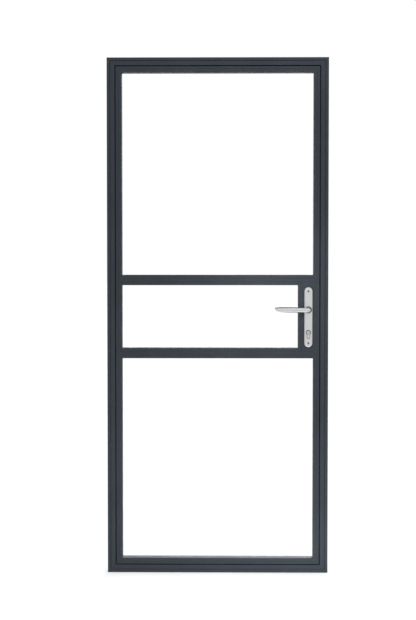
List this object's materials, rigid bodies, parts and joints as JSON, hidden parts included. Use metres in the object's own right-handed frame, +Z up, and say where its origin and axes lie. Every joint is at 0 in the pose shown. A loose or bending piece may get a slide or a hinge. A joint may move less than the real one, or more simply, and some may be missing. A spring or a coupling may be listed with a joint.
{
  "type": "glazed hinged door with frame",
  "caption": "Slim dark metal door leaf with clear panes, transoms and a lever lock, hinged flush in its slim metal frame.",
  "frame": {"origin": "middle of the underside of the sill, half way through the frame's depth", "axes": "+Z up, +X from the hinge jamb to the lock jamb, +Y away from the viewer, the way the leaf opens"},
  "size_m": [0.9, 0.157, 2.1],
  "materials": {
    "bar_paint": "anthracite powder coat, satin",
    "hinge_paint": "anthracite powder coat, satin",
    "cleat": "mill finish",
    "glass": "clear toughened",
    "seal": "matt extruded rubber",
    "glazing_seal": "light grey silicone",
    "packer": "moulded",
    "lock_steel": "brushed",
    "screw_steel": "dark passivated",
    "handle": "satin",
    "cylinder": "satin nickel plate"
  },
  "bodies": {
    "frame": {"frame_head": "bar_paint", "frame_sill": "bar_paint", "frame_hinge_jamb": "bar_paint", "frame_lock_jamb": "bar_paint", "frame_corner_cleats": "cleat", "frame_seal": "seal", "strike_plate": "lock_steel", "hinge_pins": "screw_steel", "lower_hinge_frame_half": "hinge_paint", "middle_hinge_frame_half": "hinge_paint", "upper_hinge_frame_half": "hinge_paint"},
    "leaf": {"leaf_hinge_stile": "bar_paint", "leaf_lock_stile": "bar_paint", "leaf_top_rail": "bar_paint", "leaf_bottom_rail": "bar_paint", "upper_transom": "bar_paint", "lower_transom": "bar_paint", "lock_box": "bar_paint", "leaf_corner_cleats": "cleat", "setting_blocks": "packer", "lock_case": "lock_steel", "lock_faceplate": "lock_steel", "front_handle_plate": "handle", "back_handle_plate": "handle", "handle_screws": "screw_steel", "cylinder_body": "cylinder", "lower_hinge_leaf_half": "hinge_paint", "middle_hinge_leaf_half": "hinge_paint", "upper_hinge_leaf_half": "hinge_paint", "upper_glass": "glass", "middle_glass": "glass", "lower_glass": "glass", "upper_glazing_seal": "glazing_seal", "middle_glazing_seal": "glazing_seal", "lower_glazing_seal": "glazing_seal", "upper_left_bead": "bar_paint", "upper_right_bead": "bar_paint", "upper_bottom_bead": "bar_paint", "upper_top_bead": "bar_paint", "middle_left_bead": "bar_paint", "middle_right_bead": "bar_paint", "middle_bottom_bead": "bar_paint", "middle_top_bead": "bar_paint", "lower_left_bead": "bar_paint", "lower_right_bead": "bar_paint", "lower_bottom_bead": "bar_paint", "lower_top_bead": "bar_paint"},
    "lever_set": {"front_lever": "handle", "back_lever": "handle", "spindle": "lock_steel", "follower": "lock_steel"},
    "latch": {"latch_bolt": "lock_steel"},
    "dead_bolt": {"dead_bolt": "lock_steel"},
    "key_plugs": {"front_plug": "cylinder", "back_plug": "cylinder", "cylinder_cam": "cylinder"}
  },
  "joints": [
    {"name": "leaf_swing", "type": "hinge", "parent": "frame", "child": "leaf", "pos_m": [-0.426, 0.032, 0], "axis": [0, 0, 1], "range_deg": [0, 110]},
    {"name": "lever_turn", "type": "hinge", "parent": "leaf", "child": "lever_set", "pos_m": [0.369, 0, 1.078], "axis": [0, -1, 0], "range_deg": [0, 40], "stiffness_Nm_per_rad": 1.5, "springref_deg": -28.65},
    {"name": "latch_slide", "type": "slide", "parent": "leaf", "child": "latch", "axis": [-1, 0, 0], "range_m": [0, 0.012]},
    {"name": "key_turn", "type": "hinge", "parent": "leaf", "child": "key_plugs", "pos_m": [0.369, 0, 0.986], "axis": [0, 1, 0], "range_deg": [0, 360]},
    {"name": "dead_bolt_slide", "type": "slide", "parent": "leaf", "child": "dead_bolt", "axis": [1, 0, 0], "range_m": [0, 0.02]}
  ],
  "couplings": [
    {"joint": "latch_slide", "follows": "lever_turn", "m_per_rad": 0.01718},
    {"joint": "key_turn", "follows": "dead_bolt_slide", "rad_per_m": 314.1}
  ]
}
